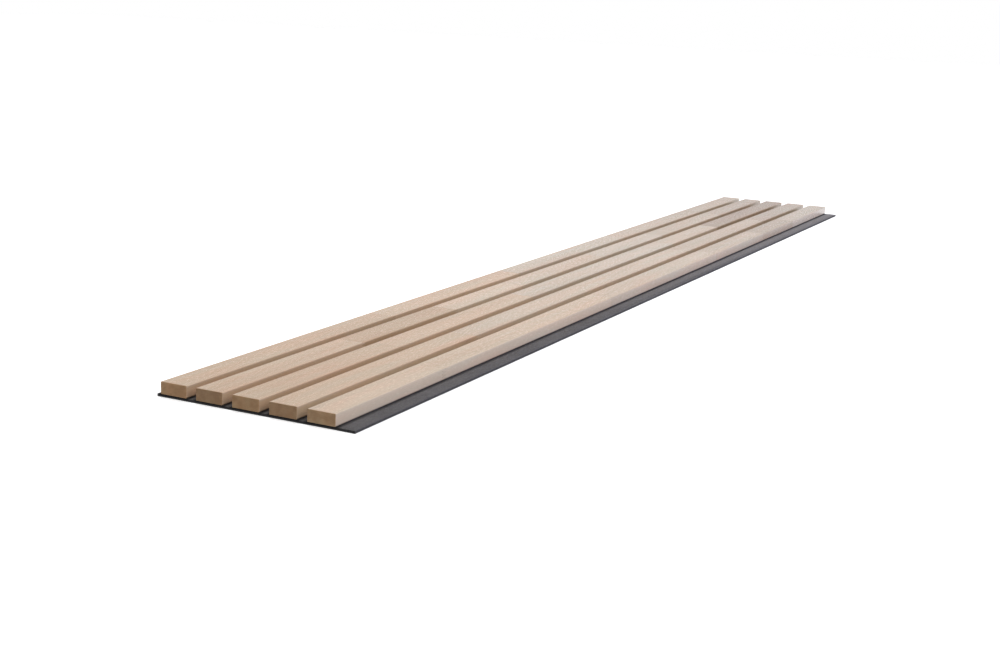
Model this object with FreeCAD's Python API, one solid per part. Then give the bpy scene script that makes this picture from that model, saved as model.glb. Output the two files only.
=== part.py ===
"""Acoustic slat wall panel: five hardwood slats on a sheet of dark acoustic felt.

Each slat is glued up from shorter staves whose ends interlock in a finger joint. The slats
are stapled on through the back of the felt. The panel lies on its felt, slats up, with X
across the slats, Y along them and Z up. The origin is the middle of the felt's back.
All sizes are in millimetres.
"""

import FreeCAD
import Part
import itertools
import os

# Slats
panel_length = 2400.0
slat_count = 5
slat_width = 44.0
slat_thickness = 18.0
slat_gap = 16.0
slat_edge_radius = 1.2
slat_end_bevel = 0.5

# Felt backing, with a narrow margin beside the first slat and a wide one beside the last
felt_thickness = 4.0
felt_narrow_margin = 6.0
felt_wide_margin = 30.0

# Stave lengths in each slat from the near end: the last stave takes what is left
stave_lengths = [
    [550.0, 480.0, 540.0, 520.0],
    [360.0, 300.0, 265.0, 385.0, 345.0, 410.0],
    [370.0, 470.0, 720.0, 305.0, 285.0],
    [505.0, 600.0, 385.0, 550.0],
    [290.0, 635.0, 585.0, 335.0, 245.0],
]
shortest_stave = 150.0

# Finger joints between staves: the fingers lie one above another in the slat's thickness
finger_length = 10.0
finger_count = 4
finger_tip_width = 0.6

# Staples, driven from the felt's back with the crown across the slat
staple_crown_width = 12.8
staple_leg_length = 14.0
staple_wire_width = 0.95
staple_wire_thickness = 0.65
staple_point_length = 0.9
staple_set_in = 0.3
staple_spacing = 300.0
staple_end_distance = 150.0
staple_joint_clearance = 25.0

# Places that follow from the sizes
slat_pitch = slat_width + slat_gap
felt_width = (
    felt_narrow_margin + (slat_count - 1) * slat_pitch + slat_width + felt_wide_margin
)
felt_left = -felt_width / 2
near_end = -panel_length / 2
far_end = panel_length / 2
slat_bottom = felt_thickness
slat_top = felt_thickness + slat_thickness


def slat_left(slat):
    """X of a slat's left side, for slats numbered from 1."""
    return felt_left + felt_narrow_margin + (slat - 1) * slat_pitch


def slat_middle(slat):
    """X of a slat's centre line."""
    return slat_left(slat) + slat_width / 2


def prism(points, direction):
    """A solid made by sweeping a closed outline straight along a direction."""
    outline = Part.makePolygon(points + points[:1])
    return Part.Face(outline).extrude(direction)


def bevelled_end_outline(low, high):
    """A slat's outline from one side, as (across, along) points with bevelled corners."""
    bevel = slat_end_bevel
    return [
        (low, near_end + bevel),
        (low + bevel, near_end),
        (high - bevel, near_end),
        (high, near_end + bevel),
        (high, far_end - bevel),
        (high - bevel, far_end),
        (low + bevel, far_end),
        (low, far_end - bevel),
    ]


def moulded_bar():
    """A whole slat as it leaves the moulder, with eased long edges and bevelled ends."""
    half_width = slat_width / 2
    corner = FreeCAD.Vector(-half_width, near_end, slat_bottom)
    bar = Part.makeBox(slat_width, panel_length, slat_thickness, corner)
    long_edges = [
        edge
        for edge in bar.Edges
        if abs(edge.tangentAt(edge.FirstParameter).y) > 0.999
    ]
    bar = bar.makeFillet(slat_edge_radius, long_edges)
    from_the_side = [
        FreeCAD.Vector(-half_width, y, z)
        for z, y in bevelled_end_outline(slat_bottom, slat_top)
    ]
    from_above = [
        FreeCAD.Vector(x, y, slat_bottom)
        for x, y in bevelled_end_outline(-half_width, half_width)
    ]
    bar = bar.common(prism(from_the_side, FreeCAD.Vector(slat_width, 0, 0)))
    return bar.common(prism(from_above, FreeCAD.Vector(0, 0, slat_thickness)))


def joint_places(slat):
    """Y of each finger joint in a slat, from the near end."""
    lengths = stave_lengths[(slat - 1) % len(stave_lengths)]
    places = []
    joint = near_end
    for length in itertools.cycle(lengths):
        joint += length
        if joint > far_end - shortest_stave:
            return places
        places.append(joint)


def finger_line(joint):
    """The zigzag seen on a slat's side where two staves interlock, from bottom to top."""
    finger_pitch = slat_thickness / finger_count
    half_tip = finger_tip_width / 2
    low = joint - finger_length / 2
    high = joint + finger_length / 2
    line = [(low, slat_bottom)]
    for finger in range(finger_count):
        base = slat_bottom + finger * finger_pitch
        line += [
            (low, base + half_tip),
            (high, base + finger_pitch / 2 - half_tip),
            (high, base + finger_pitch / 2 + half_tip),
            (low, base + finger_pitch - half_tip),
        ]
    line.append((low, slat_top))
    return line


def stave_block(start, end):
    """The space between two joints. None stands for a slat's own end."""
    if start is None:
        near_side = [(near_end, slat_bottom), (near_end, slat_top)]
    else:
        near_side = finger_line(start)
    if end is None:
        far_side = [(far_end, slat_bottom), (far_end, slat_top)]
    else:
        far_side = finger_line(end)
    points = [
        FreeCAD.Vector(-slat_width / 2, y, z) for y, z in near_side + far_side[::-1]
    ]
    return prism(points, FreeCAD.Vector(slat_width, 0, 0))


def staple_outline(crown_back):
    """A staple seen along the slat: a crown with two legs that end in chisel points."""
    outside = staple_crown_width / 2
    inside = outside - staple_wire_thickness
    crown_front = staple_set_in + staple_wire_thickness
    tip = staple_set_in + staple_leg_length
    shoulder = tip - staple_point_length
    right = [
        (outside, crown_back),
        (outside, shoulder),
        (inside, tip),
        (inside, crown_front),
    ]
    left = [(-x, z) for x, z in right[::-1]]
    return right + left


def staple_at(x, y, crown_back):
    """A staple whose crown is centred on x, y."""
    points = [
        FreeCAD.Vector(x + across, y - staple_wire_width / 2, z)
        for across, z in staple_outline(crown_back)
    ]
    return prism(points, FreeCAD.Vector(0, staple_wire_width, 0))


def staple_places(slat):
    """Y of each staple in a slat, moved along where it would fall on a finger joint."""
    joints = joint_places(slat)
    run = panel_length - 2 * staple_end_distance
    count = int(run // staple_spacing) + 1
    start = -(count - 1) * staple_spacing / 2
    places = []
    for number in range(count):
        place = start + number * staple_spacing
        for joint in joints:
            if abs(place - joint) < staple_joint_clearance:
                place = joint + staple_joint_clearance
        places.append(place)
    return places


def make_staves(slat, bar):
    """The staves of a slat in order, with the holes that its staples' legs made."""
    ends = [None, *joint_places(slat), None]
    shift = FreeCAD.Vector(slat_middle(slat), 0, 0)
    staves = []
    for start, end in zip(ends, ends[1:]):
        stave = bar.common(stave_block(start, end)).translated(shift)
        reach_low = near_end if start is None else start - finger_length
        reach_high = far_end if end is None else end + finger_length
        legs = [
            staple_at(slat_middle(slat), y, staple_set_in)
            for y in staple_places(slat)
            if reach_low < y < reach_high
        ]
        if legs:
            stave = stave.cut(legs)
        staves.append(stave)
    return staves


def make_staples(slat):
    """The row of staples behind a slat."""
    staples = [
        staple_at(slat_middle(slat), y, staple_set_in) for y in staple_places(slat)
    ]
    return Part.makeCompound(staples)


def make_felt():
    """The felt sheet, with a slot through it where each staple was driven in."""
    corner = FreeCAD.Vector(felt_left, near_end, 0)
    sheet = Part.makeBox(felt_width, panel_length, felt_thickness, corner)
    slots = [
        staple_at(slat_middle(slat), y, 0)
        for slat in range(1, slat_count + 1)
        for y in staple_places(slat)
    ]
    return sheet.cut(slots)


def make_panel():
    """Every piece of the panel by its name."""
    pieces = {"felt_backing": make_felt()}
    bar = moulded_bar()
    for slat in range(1, slat_count + 1):
        for number, stave in enumerate(make_staves(slat, bar), 1):
            pieces[f"slat_{slat}_stave_{number}"] = stave
        pieces[f"slat_{slat}_staples"] = make_staples(slat)
    return pieces


os.makedirs("parts", exist_ok=True)
for name, shape in make_panel().items():
    shape.exportStep(f"parts/{name}.step")
    print(f"{name}: {len(shape.Solids)} solid(s), {shape.Volume:.1f} mm3, valid {shape.isValid()}")
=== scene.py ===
"""Acoustic slat wall panel: the finish of its wood, felt and staples, in a white studio.

The staves and the staples are the frame's own pieces and get their finish here. The felt is
a modelled sheet that stands for the plain one in the frame. Everything is in metres.
"""

import math
import random
import re

import bmesh
import bpy
from mathutils import Euler, Matrix, Vector, noise


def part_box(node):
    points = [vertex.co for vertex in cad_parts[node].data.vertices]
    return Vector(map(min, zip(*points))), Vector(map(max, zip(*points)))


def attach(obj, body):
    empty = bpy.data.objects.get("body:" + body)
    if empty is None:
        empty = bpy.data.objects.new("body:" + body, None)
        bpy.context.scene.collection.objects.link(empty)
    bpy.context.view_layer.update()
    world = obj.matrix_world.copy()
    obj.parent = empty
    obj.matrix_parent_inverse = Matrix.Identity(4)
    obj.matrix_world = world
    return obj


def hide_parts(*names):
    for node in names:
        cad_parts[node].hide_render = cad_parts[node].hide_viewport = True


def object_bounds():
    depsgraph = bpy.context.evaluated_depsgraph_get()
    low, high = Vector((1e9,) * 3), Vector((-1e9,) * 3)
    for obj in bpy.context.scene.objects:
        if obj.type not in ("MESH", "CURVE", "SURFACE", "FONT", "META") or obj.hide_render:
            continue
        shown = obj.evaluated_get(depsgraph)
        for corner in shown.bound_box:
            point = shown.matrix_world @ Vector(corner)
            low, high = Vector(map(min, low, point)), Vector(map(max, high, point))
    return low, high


bl_info = {
    "name": "Acoustic slat wall panel",
    "version": (1, 0, 0),
    "blender": (4, 5, 0),
    "location": "View3D > Sidebar > Slat panel",
    "description": "Finishes the slats, felt and staples of a slat wall panel",
    "category": "Object",
}

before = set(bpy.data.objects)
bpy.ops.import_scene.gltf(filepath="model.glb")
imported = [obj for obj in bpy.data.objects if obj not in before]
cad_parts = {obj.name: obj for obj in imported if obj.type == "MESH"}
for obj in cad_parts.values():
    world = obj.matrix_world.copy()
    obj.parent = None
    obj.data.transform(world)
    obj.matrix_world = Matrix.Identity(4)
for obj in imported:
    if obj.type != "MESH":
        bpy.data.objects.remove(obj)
cad_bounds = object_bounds()

FELT_NODE = "felt_backing"
STAVE_NODE = re.compile(r"slat_(\d+)_stave_(\d+)")
STAPLES_NODE = re.compile(r"slat_(\d+)_staples")

# The near lamps: their place, size and colour
NEAR_LAMPS = {
    "key_light": ((-0.78, -0.15, 2.7), 0.7, (1.0, 1.0, 1.0)),
    "low_light": ((3.0, 0.9, 0.36), 0.6, (0.81, 0.99, 1.56)),
}

# The far lamps: where their light comes from and its spread in degrees
FAR_LAMPS = {
    "fill_light": ((-0.28, -0.05, 0.96), 14),
    "high_light": ((0.71, -0.05, 0.70), 50),
}

# The finger joints: how many fingers lie in a slat's thickness, and how wide their tips are
FINGER_COUNT = 4
FINGER_TIP = 0.0006

# Each tone is how light and how warm a stave is beside the plain wood colour
TONES = {
    "plain": (0.99, -0.03),
    "golden": (1.01, 0.09),
    "honey": (0.95, 0.13),
    "tan": (0.85, 0.20),
    "pale": (1.06, -0.04),
    "bright": (1.13, -0.02),
    "ivory": (1.08, -0.11),
    "ash": (0.875, -0.01),
    "brown": (0.70, 0.11),
}

# The tones of each slat's staves, from the near end
SLAT_TONES = {
    1: ["honey", "golden", "ivory", "plain", "plain"],
    2: ["golden", "tan", "bright", "pale", "ivory", "plain", "ash"],
    3: ["honey", "golden", "ivory", "pale", "brown", "brown"],
    4: ["golden", "pale", "pale", "plain", "ash"],
    5: ["bright", "bright", "pale", "plain", "ash", "ivory"],
}

# How light the end grain of each slat is beside the plain end grain
END_TONES = {1: 1.16, 2: 0.84, 3: 1.09, 4: 0.88, 5: 1.01}


# Places taken from the frame


def nodes_like(pattern):
    """The frame's nodes whose names fit a pattern, as (numbers in the name, node)."""
    found = []
    for name, node in sorted(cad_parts.items()):
        match = pattern.fullmatch(name)
        if match:
            found.append(([int(number) for number in match.groups()], node))
    if not found:
        raise RuntimeError(f"The frame has no node named like {pattern.pattern}")
    return found


def slat_spans():
    """The low and high X of each slat, in order."""
    spans = {}
    for (slat, _), node in nodes_like(STAVE_NODE):
        low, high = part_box(node.name)
        spans[slat] = (low.x, high.x)
    return [spans[slat] for slat in sorted(spans)]


def finger_length():
    """How far two neighbouring staves reach into each other."""
    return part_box("slat_1_stave_1")[1].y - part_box("slat_1_stave_2")[0].y


def staple_crowns():
    """The (low X, high X, Y) of each staple's crown."""
    # Points further apart than this along a row are on different staples
    staple_gap = 0.01
    crowns = []
    for _, node in nodes_like(STAPLES_NODE):
        low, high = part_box(node.name)
        places = sorted(vertex.co.y for vertex in node.data.vertices)
        row = [places[0]]
        for before, after in zip(places, places[1:]):
            if after - before > staple_gap:
                row += [before, after]
        row.append(places[-1])
        for start, end in zip(row[::2], row[1::2]):
            crowns.append((low.x, high.x, (start + end) / 2))
    return crowns


# Sizes and colours that a user may change


class WoodSettings(bpy.types.PropertyGroup):
    """Colours and grain of the slats"""

    colour: bpy.props.FloatVectorProperty(
        name="Wood",
        description="Colour of a plain stave's long grain",
        subtype="COLOR",
        default=(0.67, 0.52, 0.385),
        min=0,
        max=1,
    )
    end_colour: bpy.props.FloatVectorProperty(
        name="End grain",
        description="What the wood colour is multiplied by on the slats' ends",
        subtype="COLOR",
        default=(0.845, 0.685, 0.485),
        min=0,
        max=1,
    )
    glue_colour: bpy.props.FloatVectorProperty(
        name="Glue",
        description="Colour of the glue line in a finger joint",
        subtype="COLOR",
        default=(0.20, 0.11, 0.05),
        min=0,
        max=1,
    )
    ring_spacing: bpy.props.FloatProperty(
        name="Ring spacing",
        description="Distance between growth rings",
        default=0.0022,
        min=0.0005,
        unit="LENGTH",
    )
    grain: bpy.props.FloatProperty(
        name="Grain",
        description="How strongly the grain shows",
        default=1.0,
        min=0,
        max=3,
        subtype="FACTOR",
    )
    glue_width: bpy.props.FloatProperty(
        name="Glue width",
        description="Width of the glue line seen on a slat's face",
        default=0.00022,
        min=0,
        unit="LENGTH",
    )
    roughness: bpy.props.FloatProperty(
        name="Roughness",
        description="Roughness of the satin lacquer",
        default=0.24,
        min=0,
        max=1,
        subtype="FACTOR",
    )
    # Painted shade: the colour and height of the dark band painted at the foot of the slats'
    # sides, where contact shadow falls
    painted_foot_shade_colour: bpy.props.FloatVectorProperty(
        name="Foot fuzz",
        description="Colour of the felt's fuzz that clings to the foot of the slats' sides",
        subtype="COLOR",
        default=(0.040, 0.034, 0.030),
        min=0,
        max=1,
    )
    painted_foot_shade_height: bpy.props.FloatProperty(
        name="Fuzz height",
        description="How high the felt's fuzz clings to the slats' sides",
        default=0.0026,
        min=0.0001,
        unit="LENGTH",
    )


class FeltSettings(bpy.types.PropertyGroup):
    """Colours and form of the felt sheet"""

    colour: bpy.props.FloatVectorProperty(
        name="Felt",
        description="Colour of the dark fibres",
        subtype="COLOR",
        default=(0.076, 0.071, 0.071),
        min=0,
        max=1,
    )
    light_colour: bpy.props.FloatVectorProperty(
        name="Light fibres",
        description="Colour of the light fibres mixed in",
        subtype="COLOR",
        default=(0.213, 0.202, 0.203),
        min=0,
        max=1,
    )
    grid: bpy.props.FloatProperty(
        name="Grid",
        description="Width of the sheet's facets, which are twice as long",
        default=0.010,
        min=0.004,
        unit="LENGTH",
    )
    soft_edge: bpy.props.FloatProperty(
        name="Soft edge",
        description="Rounding of the cut edges",
        default=0.0007,
        min=0,
        unit="LENGTH",
    )
    rise: bpy.props.FloatProperty(
        name="Rise",
        description="How far the felt stands up beside the slats that press it down",
        default=0.0003,
        min=0,
        unit="LENGTH",
    )
    cut_waver: bpy.props.FloatProperty(
        name="Cut waver",
        description="How far the cut edges wander",
        default=0.00025,
        min=0,
        unit="LENGTH",
    )
    dimple: bpy.props.FloatProperty(
        name="Dimple",
        description="How deep the felt is pulled in at a staple's crown",
        default=0.0008,
        min=0,
        unit="LENGTH",
    )


class StapleSettings(bpy.types.PropertyGroup):
    """Finish of the staples"""

    colour: bpy.props.FloatVectorProperty(
        name="Wire",
        description="Colour of the zinc-coated wire",
        subtype="COLOR",
        default=(0.62, 0.62, 0.60),
        min=0,
        max=1,
    )


class StageSettings(bpy.types.PropertyGroup):
    """Camera and light"""

    camera_place: bpy.props.FloatVectorProperty(
        name="Camera place",
        description="Where the camera stands",
        default=(1.1478, -2.7906, 0.5701),
        subtype="TRANSLATION",
    )
    camera_heading: bpy.props.FloatProperty(
        name="Heading",
        description="Camera's turn to the left of the slats' direction",
        default=math.radians(26.304),
        subtype="ANGLE",
    )
    camera_tilt: bpy.props.FloatProperty(
        name="Tilt",
        description="How far the camera looks down",
        default=math.radians(12.999),
        subtype="ANGLE",
    )
    camera_roll: bpy.props.FloatProperty(
        name="Roll",
        description="Camera's lean about its own axis",
        default=math.radians(-2.244),
        subtype="ANGLE",
    )
    lens: bpy.props.FloatProperty(
        name="Lens",
        description="Focal length for a 36 mm wide sensor",
        default=54.52,
        min=10,
    )
    room_light: bpy.props.FloatProperty(
        name="Room light",
        description="Level of the soft light from all round",
        default=0.24,
        min=0,
        max=2,
    )
    floor_light: bpy.props.FloatVectorProperty(
        name="Floor light",
        description="Colour and level of the light that comes up from the floor",
        subtype="COLOR",
        default=(0.32, 0.34, 0.365),
        min=0,
        max=2,
    )
    key_light: bpy.props.FloatProperty(
        name="Key light",
        description="Level of the near lamp overhead, which leans over the narrow margin",
        default=0.46,
        min=0,
        max=3,
    )
    fill_light: bpy.props.FloatProperty(
        name="Fill light",
        description="Level of the far lamp on the key light's side",
        default=0.12,
        min=0,
        max=3,
    )
    high_light: bpy.props.FloatProperty(
        name="High light",
        description="Level of the wide lamp high on the wide margin's side",
        default=0.40,
        min=0,
        max=3,
    )
    low_light: bpy.props.FloatProperty(
        name="Low light",
        description="Level of the lamp low on the wide margin's side",
        default=0.32,
        min=0,
        max=3,
    )


# Building shader graphs


class Graph:
    """Adds nodes to a node tree. An input takes a number, a vector, a colour or a socket."""

    def __init__(self, tree):
        self.tree = tree

    def add(self, kind, inputs=None, **settings):
        """A shader node with its settings and inputs."""
        node = self.tree.nodes.new("ShaderNode" + kind)
        for name, value in settings.items():
            setattr(node, name, value)
        for name, value in (inputs or {}).items():
            self.fill(node.inputs[name], value)
        return node

    def fill(self, socket, value):
        """Links a socket or sets its value."""
        if isinstance(value, bpy.types.NodeSocket):
            self.tree.links.new(value, socket)
        else:
            socket.default_value = value

    def group(self, tree, inputs):
        """A node group with its inputs."""
        return self.add("Group", inputs, node_tree=tree)

    def math(self, operation, *values, clamp=False):
        """The result of a sum on numbers or sockets."""
        return self.add(
            "Math", dict(enumerate(values)), operation=operation, use_clamp=clamp
        ).outputs[0]

    def scaled(self, place, scale):
        """A place multiplied by a scale along each axis."""
        return self.add(
            "VectorMath", {0: place, 1: scale}, operation="MULTIPLY"
        ).outputs[0]

    def noise(self, place, scale, detail=2.0, roughness=0.5):
        """Noise from 0 to 1, with a scale along each axis."""
        inputs = {
            "Vector": self.scaled(place, scale),
            "Scale": 1.0,
            "Detail": detail,
            "Roughness": roughness,
        }
        return self.add("TexNoise", inputs).outputs[0]

    def ramp(self, value, low, high, start=0.0, end=1.0, smooth=False):
        """A value spread from one range to another and held at its ends."""
        inputs = {
            "Value": value,
            "From Min": low,
            "From Max": high,
            "To Min": start,
            "To Max": end,
        }
        kind = "SMOOTHSTEP" if smooth else "LINEAR"
        return self.add("MapRange", inputs, interpolation_type=kind).outputs[0]

    def mix(self, share, first, second, blend="MIX"):
        """Two colours mixed."""
        inputs = {0: share, 6: first, 7: second}
        node = self.add("Mix", inputs, data_type="RGBA", blend_type=blend)
        return node.outputs[2]

    def total(self, start, parts):
        """A start value with each part added at its strength."""
        for part, strength in parts:
            start = self.math("ADD", start, self.math("MULTIPLY", part, strength))
        return start

    def squareness(self, axis):
        """How squarely the surface faces along an axis, from 0 to 1."""
        normal = self.add("TexCoord").outputs["Normal"]
        return self.math("ABSOLUTE", self.add("SeparateXYZ", {0: normal}).outputs[axis])

    def bump(self, height, strength, depth):
        """A surface normal that follows a height."""
        inputs = {"Height": height, "Strength": strength, "Distance": depth}
        return self.add("Bump", inputs).outputs["Normal"]


def new_group(name, inputs, outputs):
    """An empty shader node group, with (name, kind) sockets, and its graph and sockets."""
    tree = bpy.data.node_groups.new(name, "ShaderNodeTree")
    for socket, kind in inputs:
        tree.interface.new_socket(socket, in_out="INPUT", socket_type="NodeSocket" + kind)
    for socket, kind in outputs:
        tree.interface.new_socket(socket, in_out="OUTPUT", socket_type="NodeSocket" + kind)
    entry = tree.nodes.new("NodeGroupInput").outputs
    leave = tree.nodes.new("NodeGroupOutput").inputs
    return tree, Graph(tree), entry, leave


def new_material(name):
    """An empty material and its graph."""
    material = bpy.data.materials.new(name)
    material.use_nodes = True
    material.node_tree.nodes.clear()
    return material, Graph(material.node_tree)


def opaque(colour, share=1.0):
    """A colour as a shader takes it, made lighter or darker by a share."""
    red, green, blue = colour
    return (red * share, green * share, blue * share, 1.0)


# Wood

# About how often each pattern of the grain repeats in a metre, across, along and through the
# stem
RING_WANDER_SCALE = (16, 1.6, 16)
STREAK_SCALE = (230, 2.6, 230)
FIGURE_SCALE = (26, 2.4, 26)
PORE_SCALE = (1700, 95, 1700)
FLECK_SCALE = (620, 60, 620)
SMUDGE_SCALE = (70, 13, 70)
HUE_SCALE = (48, 5.5, 48)
END_PATCH_SCALE = (75, 75, 75)

# How far the growth rings wander, and how far towards its darkest grain all the wood lies
RING_WANDER = 0.007
PLAIN_DEPTH = 0.20

# What the wood's colour is multiplied by in its darkest grain, at either end of its drift in
# hue, and in a mineral smudge
DEEP_WOOD = (0.70, 0.60, 0.50)
ROSY = (1.040, 0.970, 0.945, 1.0)
STRAW = (0.970, 1.020, 1.030, 1.0)
MAUVE_GREY = (0.80, 0.76, 0.80, 1.0)

# How many degrees a stave's grain may rise or swing out of line
GRAIN_RISE = 0.7
GRAIN_SWING = 0.9

# Where the middle of a stave may lie in its tree: beside, along and above or below the pith
PITH_ASIDE = 0.045
PITH_ALONG = 4.0
PITH_DEPTHS = (0.04, 0.11)

# How deep the pores are drawn, and how strongly a glue line and the painted shade at the foot
# of the sides show
PORE_DEPTH = 0.00006
GLUE_SHARE = 0.6
PAINTED_FOOT_SHADE_SHARE = 0.85


def build_grain_group():
    """Hardwood grain in a block whose pith runs along Y through the origin."""
    tree, graph, entry, leave = new_group(
        "Hardwood grain",
        [("Place", "Vector"), ("Wood", "Color"), ("Deep wood", "Color"),
         ("End colour", "Color"), ("Ring spacing", "Float"), ("Grain", "Float"),
         ("Roughness", "Float")],
        [("Color", "Color"), ("Roughness", "Float"), ("Height", "Float")],
    )
    place = entry["Place"]

    # Growth rings, which wander along the stem
    across = graph.scaled(place, (1, 0, 1))
    radius = graph.add("VectorMath", {0: across}, operation="LENGTH").outputs["Value"]
    wander = graph.math("SUBTRACT", graph.noise(place, RING_WANDER_SCALE, 3), 0.5)
    wander = graph.math("MULTIPLY", wander, RING_WANDER)
    rings = graph.math("DIVIDE", graph.math("ADD", radius, wander), entry["Ring spacing"])
    late_wood = graph.math("POWER", graph.math("FRACT", rings), 4.0)

    # Streaks, broad figure, pores and the odd mineral smudge
    streaks = graph.math("SUBTRACT", graph.noise(place, STREAK_SCALE), 0.5)
    figure = graph.math("SUBTRACT", graph.noise(place, FIGURE_SCALE, 3), 0.5)
    pores = graph.ramp(graph.noise(place, PORE_SCALE), 0.57, 0.70)
    flecks = graph.ramp(graph.noise(place, FLECK_SCALE, 1), 0.62, 0.76)
    smudges = graph.ramp(graph.noise(place, SMUDGE_SCALE, 4, 0.6), 0.64, 0.80)
    depth = graph.total(
        PLAIN_DEPTH,
        ((streaks, 0.32), (figure, 0.70), (late_wood, 0.18), (pores, 0.05), (flecks, 0.03)),
    )
    depth = graph.math("MULTIPLY", depth, entry["Grain"], clamp=True)
    long_grain = graph.mix(depth, entry["Wood"], entry["Deep wood"])

    # The hue drifts between rosy and straw along a stave, and a smudge is mauve grey
    drift = graph.ramp(graph.noise(place, HUE_SCALE, 3, 0.6), 0.32, 0.68)
    hue = graph.mix(drift, ROSY, STRAW)
    long_grain = graph.mix(entry["Grain"], long_grain, hue, "MULTIPLY")
    stained = graph.mix(1.0, long_grain, MAUVE_GREY, "MULTIPLY")
    smudged = graph.math("MULTIPLY", smudges, entry["Grain"], clamp=True)
    long_grain = graph.mix(smudged, long_grain, stained)

    # On the ends the rings show as dark arcs, with darker patches where the wood drank more
    on_end = graph.ramp(graph.squareness("Y"), 0.45, 0.85)
    patches = graph.ramp(graph.noise(place, END_PATCH_SCALE), 0.42, 0.62, 0.0, 0.62)
    arcs = graph.math("ADD", patches, graph.math("MULTIPLY", late_wood, 0.30), clamp=True)
    ringed = graph.mix(arcs, long_grain, entry["Deep wood"])
    end_grain = graph.mix(1.0, ringed, entry["End colour"], "MULTIPLY")

    graph.fill(leave["Color"], graph.mix(on_end, long_grain, end_grain))
    dull_parts = ((pores, 0.12), (streaks, 0.05), (on_end, 0.25))
    graph.fill(leave["Roughness"], graph.total(entry["Roughness"], dull_parts))
    graph.fill(leave["Height"], graph.total(0.0, ((pores, -1.0), (late_wood, -0.35))))
    return tree


def build_joint_group():
    """The glue line of one finger joint, as a mask on every face that it crosses."""
    tree, graph, entry, leave = new_group(
        "Finger joint glue",
        [("Place", "Vector"), ("Joint", "Float"), ("Finger length", "Float"),
         ("Half pitch", "Float"), ("Half tip", "Float"), ("Slat bottom", "Float"),
         ("Width", "Float")],
        [("Mask", "Float")],
    )
    place = graph.add("SeparateXYZ", {0: entry["Place"]})
    height = graph.math("SUBTRACT", place.outputs["Z"], entry["Slat bottom"])
    swing = graph.math("PINGPONG", height, entry["Half pitch"])
    half_length = graph.math("DIVIDE", entry["Finger length"], 2.0)
    line = graph.ramp(
        swing,
        entry["Half tip"],
        graph.math("SUBTRACT", entry["Half pitch"], entry["Half tip"]),
        graph.math("SUBTRACT", entry["Joint"], half_length),
        graph.math("ADD", entry["Joint"], half_length),
    )
    distance = graph.math("ABSOLUTE", graph.math("SUBTRACT", place.outputs["Y"], line))

    # On a side the steep flanks spread the same line over more of the length
    spread = graph.ramp(graph.squareness("X"), 0.3, 0.9, 1.0, 4.0)
    reach = graph.math("MULTIPLY", entry["Width"], spread)
    near = graph.math("DIVIDE", distance, graph.math("MAXIMUM", reach, 1e-6))
    graph.fill(leave["Mask"], graph.ramp(near, 0.4, 1.0, 1.0, 0.0, smooth=True))
    return tree


def toned(colour, tone):
    """The wood colour made lighter or darker and warmer or cooler."""
    light, warm = TONES[tone]
    red, green, blue = colour
    return (
        min(1.0, red * light * (1 + warm / 2)),
        min(1.0, green * light),
        min(1.0, blue * light * (1 - warm / 2)),
        1.0,
    )


def block_turn(name):
    """A stave's own turn and shift in the tree that it was sawn from."""
    draw = random.Random(name)
    rise = math.radians(draw.uniform(-GRAIN_RISE, GRAIN_RISE))
    swing = math.radians(draw.uniform(-GRAIN_SWING, GRAIN_SWING))
    turn = Euler((rise, 0.0, swing))
    aside = draw.uniform(-PITH_ASIDE, PITH_ASIDE)
    along = draw.uniform(-PITH_ALONG, PITH_ALONG)
    depth = draw.choice((-1, 1)) * draw.uniform(*PITH_DEPTHS)
    low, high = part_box(name)
    middle = (low + high) / 2
    return turn, Vector((aside, along, depth)) - turn.to_matrix() @ middle


def joints_of(name):
    """Y of the finger joints at a stave's two ends. An end with no joint gives none."""
    low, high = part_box(name)
    panel_low, panel_high = cad_bounds
    half = finger_length() / 2
    joints = []
    if low.y > panel_low.y + half:
        joints.append(low.y + half)
    if high.y < panel_high.y - half:
        joints.append(high.y - half)
    return joints


def wood_material(name, tone, end_tone, wood, grain_group, joint_group):
    """Lacquered hardwood for one stave."""
    material, graph = new_material(f"wood_{name}")
    place = graph.add("TexCoord").outputs["Object"]
    turn, shift = block_turn(name)
    turned = graph.add("Mapping", {"Vector": place, "Location": shift, "Rotation": turn})
    colour = toned(wood.colour, tone)
    deep = [channel * share for channel, share in zip(colour, DEEP_WOOD)]
    grain = graph.group(
        grain_group,
        {
            "Place": turned.outputs["Vector"],
            "Wood": colour,
            "Deep wood": opaque(deep),
            "End colour": opaque(wood.end_colour, end_tone),
            "Ring spacing": wood.ring_spacing,
            "Grain": wood.grain,
            "Roughness": wood.roughness,
        },
    )
    base = grain.outputs["Color"]
    low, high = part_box(name)
    for joint in joints_of(name):
        glue = graph.group(
            joint_group,
            {
                "Place": place,
                "Joint": joint,
                "Finger length": finger_length(),
                "Half pitch": (high.z - low.z) / FINGER_COUNT / 2,
                "Half tip": FINGER_TIP / 2,
                "Slat bottom": low.z,
                "Width": wood.glue_width,
            },
        )
        share = graph.math("MULTIPLY", glue.outputs["Mask"], GLUE_SHARE)
        base = graph.mix(share, base, opaque(wood.glue_colour))

    # Painted shade: the foot of each side is darkened, as a contact shadow beside the felt
    height = graph.add("SeparateXYZ", {0: place}).outputs["Z"]
    foot = graph.ramp(height, low.z, low.z + wood.painted_foot_shade_height, PAINTED_FOOT_SHADE_SHARE, 0.0, smooth=True)
    painted_foot_shade = graph.math("MULTIPLY", foot, graph.squareness("X"))
    base = graph.mix(painted_foot_shade, base, opaque(wood.painted_foot_shade_colour))
    surface = graph.add(
        "BsdfPrincipled",
        {
            "Base Color": base,
            "Roughness": grain.outputs["Roughness"],
            "IOR": 1.5,
            "Normal": graph.bump(grain.outputs["Height"], 0.2, PORE_DEPTH),
        },
    )
    graph.add("OutputMaterial", {"Surface": surface.outputs["BSDF"]})
    return material


# Felt

# The felt's own attribute that tells how far each of its points is pressed down, which the
# felt's colour also uses to paint shade beside the slats
PRESSED_AND_SHADED = "pressed"
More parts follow.
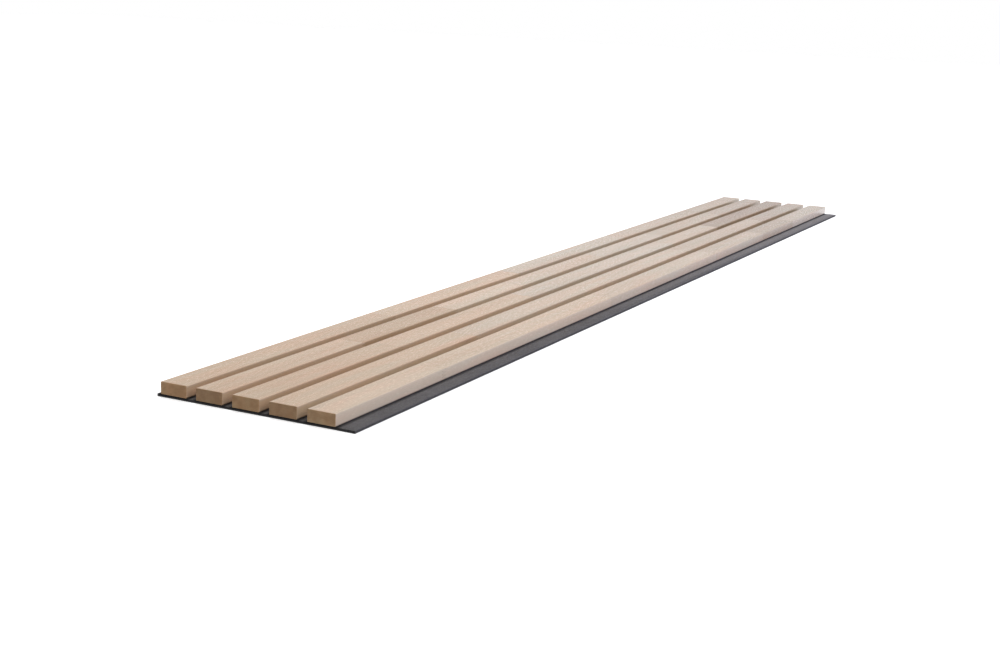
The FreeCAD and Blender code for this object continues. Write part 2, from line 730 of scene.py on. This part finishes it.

# How far from a slat the felt is still held down and darkened with painted shade, how far from
# a staple's crown it is still pulled in, and how far inside the sheet its cut edges still
# wander
PRESSED_REACH = 0.009
DIMPLE_REACH = 0.0022
EDGE_REACH = 0.006

# Where the sheet has lines of points: beside a slat's side, before and after the wire of a
# staple's crown, and past the crown's ends
BESIDE_SLAT = (-0.0025, 0.0, 0.001, 0.0025, 0.005, 0.008)
AROUND_WIRE = (-0.0020, -0.0006, 0.0, 0.0006, 0.0020)
PAST_CROWN = 0.0015

# The directions that the fibres lie in, in degrees, and how far their curls sway
FIBRE_TURNS = (8, 43, 79, 117, 152)
FIBRE_SWAY = 0.0016

# About how often each pattern of the felt repeats in a metre, in X, Y and Z. The fibres' own is
# turned, so that its X runs along them
CURL_SCALE = 420.0
FIBRE_SCALE = (240, 3200, 2200)
CLUMP_SCALE = (150, 150, 150)
CLOUD_SCALE = (18, 11, 18)

# How deep the fibres lie, how light the painted sheen of the standing pile is beside the light
# fibres, and the dark colour of the pile pressed flat, which also paints the shade beside the
# slats and darkens the cut edges
FIBRE_DEPTH = 0.00025
PAINTED_SHEEN_LIGHTNESS = 1.4
FLAT_PILE_AND_SHADE = (0.010, 0.009, 0.009, 1.0)


def build_fibre_group():
    """Needled felt: short fibres lying in every direction in the sheet."""
    tree, graph, entry, leave = new_group(
        "Needled fibres",
        [("Place", "Vector"), ("Felt", "Color"), ("Light fibres", "Color")],
        [("Color", "Color"), ("Height", "Float")],
    )
    place = entry["Place"]

    # The fibres curl, so the place that they are drawn at sways
    curls = graph.add("TexNoise", {"Vector": place, "Scale": CURL_SCALE, "Detail": 1.0})
    about_zero = {0: curls.outputs["Color"], 1: (0.5, 0.5, 0.5)}
    sway = graph.add("VectorMath", about_zero, operation="SUBTRACT").outputs[0]
    sway = graph.scaled(sway, (FIBRE_SWAY, FIBRE_SWAY, FIBRE_SWAY))
    curled = graph.add("VectorMath", {0: place, 1: sway}, operation="ADD").outputs[0]
    fibres = 0.0
    for turn in FIBRE_TURNS:
        turned = graph.add(
            "Mapping", {"Vector": curled, "Rotation": (0, 0, math.radians(turn))}
        ).outputs["Vector"]
        strands = graph.ramp(graph.noise(turned, FIBRE_SCALE), 0.54, 0.70)
        fibres = graph.math("MAXIMUM", fibres, strands)
    clumps = graph.noise(place, CLUMP_SCALE, 3)
    cloud = graph.noise(place, CLOUD_SCALE, 3)
    share = graph.math("MULTIPLY", fibres, graph.ramp(clumps, 0.3, 0.7, 0.25, 0.75))
    share = graph.math("ADD", share, graph.ramp(cloud, 0.3, 0.7, -0.06, 0.10), clamp=True)
    graph.fill(leave["Color"], graph.mix(share, entry["Felt"], entry["Light fibres"]))
    graph.fill(leave["Height"], graph.total(fibres, ((clumps, 1.6),)))
    return tree


def felt_material(felt):
    """Dark needled felt, with a painted sheen that lightens it where it is seen along the pile.
    """
    material, graph = new_material("felt")
    place = graph.add("TexCoord").outputs["Object"]
    fibres = graph.group(
        build_fibre_group(),
        {
            "Place": place,
            "Felt": opaque(felt.colour),
            "Light fibres": opaque(felt.light_colour),
        },
    )

    # Painted sheen: at a low angle the colour lightens towards a pale colour, partly real, as
    # the standing pile hides the dark between the fibres
    grazing = graph.add("LayerWeight", {"Blend": 0.5}).outputs["Facing"]
    sheen = graph.ramp(grazing, 0.79, 0.90, 0.0, 0.95)
    painted_sheen_colour = opaque(felt.light_colour, PAINTED_SHEEN_LIGHTNESS)
    colour = graph.mix(sheen, fibres.outputs["Color"], painted_sheen_colour)

    # Painted shade beside the slats, partly real where they press the pile flat, and darker on
    # the cut edges
    pressed = graph.add("Attribute", attribute_name=PRESSED_AND_SHADED).outputs["Fac"]
    shade = graph.ramp(pressed, 0.0, 0.85, 0.0, 0.95)
    cut_edge = graph.ramp(graph.squareness("Z"), 0.3, 0.8, 0.45, 0.0)
    colour = graph.mix(graph.math("MAXIMUM", shade, cut_edge), colour, FLAT_PILE_AND_SHADE)
    surface = graph.add(
        "BsdfPrincipled",
        {
            "Base Color": colour,
            "Roughness": 0.85,
            "Specular IOR Level": 0.2,
            "Sheen Weight": 0.15,
            "Sheen Roughness": 0.3,
            "Sheen Tint": (0.90, 0.87, 0.88, 1.0),
            "Normal": graph.bump(fibres.outputs["Height"], 0.8, FIBRE_DEPTH),
        },
    )
    graph.add("OutputMaterial", {"Surface": surface.outputs["BSDF"]})
    return material


def grid_lines(low, high, spacing, kept):
    """Places from low to high about a spacing apart, with the kept places among them."""
    # Rounded to a tenth of a millimetre, so that places that nearly coincide are one
    kept = {round(place, 4) for place in kept}
    kept = sorted({low, high, *(place for place in kept if low < place < high)})
    lines = [kept[0]]
    for start, end in zip(kept, kept[1:]):
        steps = max(1, round((end - start) / spacing))
        lines += [start + (end - start) * step / steps for step in range(1, steps + 1)]
    return lines


def eased(distance, reach):
    """A share that falls softly from 1 at no distance to 0 at the reach and beyond."""
    ease = max(0.0, 1 - distance / reach)
    return ease * ease * (3 - 2 * ease)


def pressed_share(x, spans):
    """How far the slats hold the felt down at X, from 0 in the open to 1 under a slat."""
    distance = min(max(low - x, x - high, 0.0) for low, high in spans)
    return eased(distance, PRESSED_REACH)


def dimple_share(place, crowns):
    """How far a staple's crown pulls the felt in, from 0 away from it to 1 at its wire."""
    distances = (
        math.hypot(max(low - place.x, place.x - high, 0.0), place.y - y)
        for low, high, y in crowns
    )
    return eased(min(distances), DIMPLE_REACH)


def felt_sheet(felt):
    """The felt: a thick sheet, pressed down under the slats and pulled in at the staples."""
    low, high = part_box(FELT_NODE)
    spans = slat_spans()
    crowns = staple_crowns()
    x_kept = []
    for start, end in spans:
        x_kept += [start - shift for shift in BESIDE_SLAT]
        x_kept += [end + shift for shift in BESIDE_SLAT]
    for start, end, _ in crowns:
        x_kept += [start - PAST_CROWN, start, end, end + PAST_CROWN]
    y_kept = [y + shift for *_, y in crowns for shift in AROUND_WIRE]
    x_lines = grid_lines(low.x, high.x, felt.grid, x_kept)
    facet_length = felt.grid * 2
    y_lines = grid_lines(low.y, high.y, facet_length, y_kept)

    mesh = bmesh.new()
    bmesh.ops.create_grid(
        mesh, x_segments=len(x_lines) - 1, y_segments=len(y_lines) - 1, size=0.5
    )
    for vertex in mesh.verts:
        column = round((vertex.co.x + 0.5) * (len(x_lines) - 1))
        row = round((vertex.co.y + 0.5) * (len(y_lines) - 1))
        vertex.co = (x_lines[column], y_lines[row], low.z)
    made = bmesh.ops.extrude_face_region(mesh, geom=mesh.faces[:], use_keep_orig=True)
    upper = [item for item in made["geom"] if isinstance(item, bmesh.types.BMVert)]
    bmesh.ops.translate(mesh, verts=upper, vec=(0, 0, high.z - low.z))
    bmesh.ops.recalc_face_normals(mesh, faces=mesh.faces[:])

    # Only the edges of the rim are sharp
    rim = [
        edge
        for edge in mesh.edges
        if len(edge.link_faces) == 2 and edge.calc_face_angle() > math.radians(60)
    ]
    bmesh.ops.bevel(
        mesh,
        geom=rim,
        offset=felt.soft_edge,
        offset_type="OFFSET",
        segments=3,
        profile=0.5,
        affect="EDGES",
        material=-1,
    )
    shape_felt(mesh, felt, low, high, spans, crowns)
    pressed = mesh.verts.layers.float.new(PRESSED_AND_SHADED)
    for vertex in mesh.verts:
        if vertex.co.z > (low.z + high.z) / 2:
            vertex[pressed] = pressed_share(vertex.co.x, spans)
    data = bpy.data.meshes.new("felt_sheet")
    mesh.to_mesh(data)
    mesh.free()
    data.polygons.foreach_set("use_smooth", [True] * len(data.polygons))
    piece = bpy.data.objects.new("felt_sheet", data)
    bpy.context.scene.collection.objects.link(piece)
    return piece


def smooth_noise(*place):
    """Noise from -1 to 1 at a place."""
    return noise.noise(Vector(place))


def shape_felt(mesh, felt, low, high, spans, crowns):
    """Moves the sheet's points: the pile's rise, the wander of the cuts and the dimples."""
    middle = (low + high) / 2
    for vertex in mesh.verts:
        place = vertex.co.copy()
        inward_x = min(place.x - low.x, high.x - place.x)
        inward_y = min(place.y - low.y, high.y - place.y)
        near_x_edge = max(0.0, 1 - inward_x / EDGE_REACH)
        near_y_edge = max(0.0, 1 - inward_y / EDGE_REACH)

        # Each side and each end of the sheet wavers in its own way
        side = math.copysign(1.0, place.x - middle.x)
        end = math.copysign(1.0, place.y - middle.y)
        side_waver = smooth_noise(side * 7, place.y * 22, 0.3)
        end_waver = smooth_noise(place.x * 30, end * 5, 0.7)
        vertex.co.x += near_x_edge * felt.cut_waver * side_waver
        vertex.co.y += near_y_edge * felt.cut_waver * end_waver
        if place.z > middle.z:
            open_share = 1 - pressed_share(place.x, spans)
            pile = 0.6 + 0.6 * smooth_noise(place.x * 60, place.y * 45, 1.9)
            fade = 1 - max(near_x_edge, near_y_edge)
            vertex.co.z += open_share * felt.rise * pile * fade
        else:
            vertex.co.z += felt.dimple * dimple_share(place, crowns)


# Staples

# About how often the wire's drawing marks and the zinc's dull bloom repeat in a metre
DRAWN_SCALE = (300, 7000, 7000)
BLOOM_SCALE = (900, 900, 900)

# How dark the bloom is beside the bright wire, and how deep the drawing marks are
BLOOM_SHADE = 0.62
DRAWN_DEPTH = 0.00003


def wire_material(staples):
    """Drawn steel wire with a thin zinc coat."""
    material, graph = new_material("staple_wire")
    place = graph.add("TexCoord").outputs["Object"]
    drawn = graph.noise(place, DRAWN_SCALE)
    bloom = graph.noise(place, BLOOM_SCALE, 3)
    bright = opaque(staples.colour)
    dull = opaque(staples.colour, BLOOM_SHADE)
    surface = graph.add(
        "BsdfPrincipled",
        {
            "Base Color": graph.mix(graph.ramp(bloom, 0.4, 0.7, 0.0, 0.7), bright, dull),
            "Metallic": 1.0,
            "Roughness": graph.total(0.26, ((bloom, 0.28),)),
            "Normal": graph.bump(drawn, 0.4, DRAWN_DEPTH),
        },
    )
    graph.add("OutputMaterial", {"Surface": surface.outputs["BSDF"]})
    return material


# Stage

# The floor: half its width, how far it lies below the panel, its paint, and how much light it
# shows of its own, so that it looks white round the panel
FLOOR_HALF_WIDTH = 12.0
FLOOR_GAP = 0.0003
FLOOR_PAINT = (0.9, 0.9, 0.9, 1.0)
FLOOR_GLOW = 0.50

# The room's light before the near end and past the far end, as shares of its level
ROOM_NEAR = 0.6
ROOM_FAR = 1.4

# What gloss mirrors of the room: bright low down and dim high up, turning between two heights
MIRRORED_LOW = 0.88
MIRRORED_HIGH = 0.26
MIRRORED_TURN = (0.17, 0.27)
MIRRORED_COLOUR = (0.95, 1.0, 1.10, 1.0)
WHITE = (1.0, 1.0, 1.0, 1.0)


def floor_material(floor_light):
    """A white floor that keeps a soft shadow and can't be seen from below."""
    material, graph = new_material("studio_floor")
    path = graph.add("LightPath").outputs
    seen = graph.math("MAXIMUM", path["Is Camera Ray"], path["Is Glossy Ray"])
    seen = graph.math("MAXIMUM", seen, path["Is Transmission Ray"])
    paint = graph.add("BsdfDiffuse", {"Color": FLOOR_PAINT})
    glow = graph.add("Emission", {"Color": WHITE, "Strength": FLOOR_GLOW})
    white = graph.add("AddShader", {0: paint.outputs[0], 1: glow.outputs[0]})
    bounce = graph.add("Emission", {"Color": opaque(floor_light), "Strength": 1.0})
    shown = graph.add("MixShader", {0: seen, 1: bounce.outputs[0], 2: white.outputs[0]})
    clear = graph.add("BsdfTransparent")
    below = graph.add("NewGeometry").outputs["Backfacing"]
    surface = graph.add("MixShader", {0: below, 1: shown.outputs[0], 2: clear.outputs[0]})
    graph.add("OutputMaterial", {"Surface": surface.outputs[0]})
    return material


def studio_floor(floor_light):
    """The floor that the panel lies on."""
    mesh = bmesh.new()
    bmesh.ops.create_grid(mesh, x_segments=1, y_segments=1, size=FLOOR_HALF_WIDTH)
    height = cad_bounds[0].z - FLOOR_GAP
    bmesh.ops.translate(mesh, verts=mesh.verts[:], vec=(0, 0, height))
    data = bpy.data.meshes.new("studio_floor")
    mesh.to_mesh(data)
    mesh.free()
    data.materials.append(floor_material(floor_light))
    floor = bpy.data.objects.new("studio_floor", data)
    bpy.context.scene.collection.objects.link(floor)


def studio_world(level):
    """A soft light from all round, dimmer before the near end. Gloss mirrors white low down."""
    world = bpy.data.worlds.new("studio_world")
    world.use_nodes = True
    world.node_tree.nodes.clear()
    graph = Graph(world.node_tree)
    path = graph.add("LightPath").outputs
    direction = graph.add("TexCoord").outputs["Generated"]
    axes = graph.add("SeparateXYZ", {0: direction}).outputs
    room = graph.ramp(axes["Y"], -1.0, 1.0, level * ROOM_NEAR, level * ROOM_FAR)
    mirrored = graph.ramp(
        axes["Z"], *MIRRORED_TURN, MIRRORED_LOW, MIRRORED_HIGH, smooth=True
    )
    seen = graph.math("MAXIMUM", path["Is Camera Ray"], path["Is Transmission Ray"])
    strength = graph.ramp(seen, 0.0, 1.0, room, 1.0)
    glossy = path["Is Glossy Ray"]
    strength = graph.math(
        "ADD",
        graph.math("MULTIPLY", strength, graph.math("SUBTRACT", 1.0, glossy)),
        graph.math("MULTIPLY", mirrored, glossy),
    )
    colour = graph.mix(glossy, WHITE, MIRRORED_COLOUR)
    light = graph.add("Background", {"Color": colour, "Strength": strength})
    graph.add("OutputWorld", {"Surface": light.outputs[0]})
    bpy.context.scene.world = world


def add_lamp(name, data, towards):
    """Puts a lamp's data in the scene, shining at the panel from a direction."""
    lamp = bpy.data.objects.new(name, data)
    lamp.rotation_euler = Vector(towards).to_track_quat("Z", "Y").to_euler()
    lamp.visible_camera = False
    bpy.context.scene.collection.objects.link(lamp)
    return lamp


def near_lamp(name, place, size, colour, level):
    """A square lamp near the panel, where a level of 1 shows white facing it as white."""
    data = bpy.data.lights.new(name, "AREA")
    data.shape = "SQUARE"
    data.size = size
    data.color = colour
    data.energy = level * math.pi**2 * Vector(place).length_squared
    add_lamp(name, data, place).location = place


def far_lamp(name, towards, spread, level):
    """A wide lamp far away, where a level of 1 shows a facing white surface as white."""
    data = bpy.data.lights.new(name, "SUN")
    data.energy = level * math.pi
    data.angle = math.radians(spread)
    add_lamp(name, data, towards)


def photo_camera(stage):
    """The camera, at the photograph's viewing angle."""
    data = bpy.data.cameras.new("photo_camera")
    data.sensor_width = 36.0
    data.lens = stage.lens
    data.clip_end = 100.0
    camera = bpy.data.objects.new("photo_camera", data)
    camera.matrix_world = (
        Matrix.Translation(stage.camera_place)
        @ Matrix.Rotation(stage.camera_heading, 4, "Z")
        @ Matrix.Rotation(-stage.camera_tilt, 4, "X")
        @ Matrix.Rotation(stage.camera_roll, 4, "Y")
        @ Matrix.Rotation(math.pi / 2, 4, "X")
    )
    bpy.context.scene.collection.objects.link(camera)
    bpy.context.scene.camera = camera


# Operators


class SLATPANEL_OT_finish_slats(bpy.types.Operator):
    """Gives every stave its own piece of lacquered hardwood"""

    bl_idname = "slat_panel.finish_slats"
    bl_label = "Finish slats"

    def execute(self, context):
        grain_group = build_grain_group()
        joint_group = build_joint_group()
        wood = context.scene.slat_panel_wood
        for (slat, stave), node in nodes_like(STAVE_NODE):
            tones = SLAT_TONES[slat]
            tone = tones[(stave - 1) % len(tones)]
            material = wood_material(
                node.name, tone, END_TONES[slat], wood, grain_group, joint_group
            )
            node.material_slots[0].material = material
        return {"FINISHED"}


class SLATPANEL_OT_lay_felt(bpy.types.Operator):
    """Models the felt sheet behind the slats"""

    bl_idname = "slat_panel.lay_felt"
    bl_label = "Lay felt"

    def execute(self, context):
        felt = context.scene.slat_panel_felt
        sheet = felt_sheet(felt)
        sheet.data.materials.append(felt_material(felt))
        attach(sheet, "root")
        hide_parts(FELT_NODE)
        return {"FINISHED"}


class SLATPANEL_OT_finish_staples(bpy.types.Operator):
    """Gives the staples their zinc-coated wire"""

    bl_idname = "slat_panel.finish_staples"
    bl_label = "Finish staples"

    def execute(self, context):
        wire = wire_material(context.scene.slat_panel_staples)
        for _, node in nodes_like(STAPLES_NODE):
            node.material_slots[0].material = wire
        return {"FINISHED"}


class SLATPANEL_OT_set_stage(bpy.types.Operator):
    """Sets the white floor, the soft lamps and the camera"""

    bl_idname = "slat_panel.set_stage"
    bl_label = "Set stage"

    def execute(self, context):
        stage = context.scene.slat_panel_stage
        context.scene.view_settings.view_transform = "Standard"
        studio_floor(stage.floor_light)
        studio_world(stage.room_light)
        for name, (place, size, colour) in NEAR_LAMPS.items():
            near_lamp(name, place, size, colour, getattr(stage, name))
        for name, (towards, spread) in FAR_LAMPS.items():
            far_lamp(name, towards, spread, getattr(stage, name))
        photo_camera(stage)
        return {"FINISHED"}


class SLATPANEL_PT_sidebar(bpy.types.Panel):
    """Lists the panel's steps and settings"""

    bl_idname = "SLATPANEL_PT_sidebar"
    bl_label = "Slat panel"
    bl_space_type = "VIEW_3D"
    bl_region_type = "UI"
    bl_category = "Slat panel"

    def draw(self, context):
        for operator, settings in STEPS:
            box = self.layout.box()
            box.operator(operator.bl_idname)
            values = getattr(context.scene, settings)
            for name in values.__annotations__:
                box.prop(values, name)


# Each step of the work, with the scene's settings that it reads
STEPS = (
    (SLATPANEL_OT_finish_slats, "slat_panel_wood"),
    (SLATPANEL_OT_lay_felt, "slat_panel_felt"),
    (SLATPANEL_OT_finish_staples, "slat_panel_staples"),
    (SLATPANEL_OT_set_stage, "slat_panel_stage"),
)
SETTINGS = {
    "slat_panel_wood": WoodSettings,
    "slat_panel_felt": FeltSettings,
    "slat_panel_staples": StapleSettings,
    "slat_panel_stage": StageSettings,
}


def register():
    """Adds the settings, operators and sidebar panel to Blender."""
    for name, group in SETTINGS.items():
        bpy.utils.register_class(group)
        setattr(bpy.types.Scene, name, bpy.props.PointerProperty(type=group))
    for operator, _ in STEPS:
        bpy.utils.register_class(operator)
    bpy.utils.register_class(SLATPANEL_PT_sidebar)


def unregister():
    """Takes them away again."""
    bpy.utils.unregister_class(SLATPANEL_PT_sidebar)
    for operator, _ in reversed(STEPS):
        bpy.utils.unregister_class(operator)
    for name, group in reversed(SETTINGS.items()):
        delattr(bpy.types.Scene, name)
        bpy.utils.unregister_class(group)


def main():
    """Finishes the panel."""
    register()
    bpy.ops.slat_panel.finish_slats()
    bpy.ops.slat_panel.lay_felt()
    bpy.ops.slat_panel.finish_staples()
    bpy.ops.slat_panel.set_stage()


if __name__ == "__main__":
    main()
